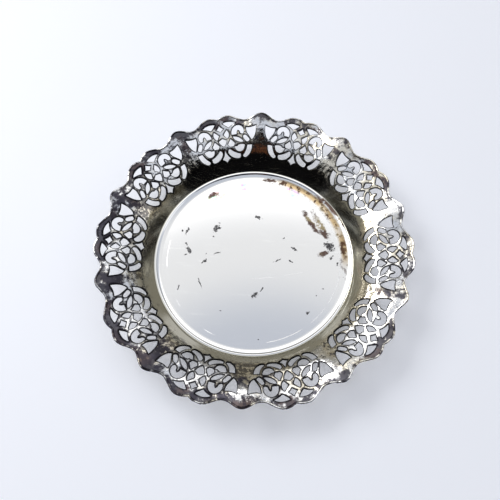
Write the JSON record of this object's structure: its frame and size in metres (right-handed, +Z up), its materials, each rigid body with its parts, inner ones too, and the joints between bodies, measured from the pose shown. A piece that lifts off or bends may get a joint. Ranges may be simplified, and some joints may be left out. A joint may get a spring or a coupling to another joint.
{
  "type": "pierced bonbon dish",
  "caption": "Shallow round silver dish for sweets: flat well, steep wall and a wide fluted, pierced border with a wired scalloped edge.",
  "frame": {"origin": "centre of the flat underside of the well, on the surface the dish stands on", "axes": "+Z up out of the dish; the middle of one pierced panel lies on +X"},
  "size_m": [0.17, 0.1682, 0.0212],
  "materials": {
    "polished_silver": "polished silver with light tarnish",
    "worn_silver": "worn, tarnished silver"
  },
  "bodies": {
    "root": {"dish_sheet": "polished_silver", "rim_wire": "worn_silver"}
  },
  "joints": []
}
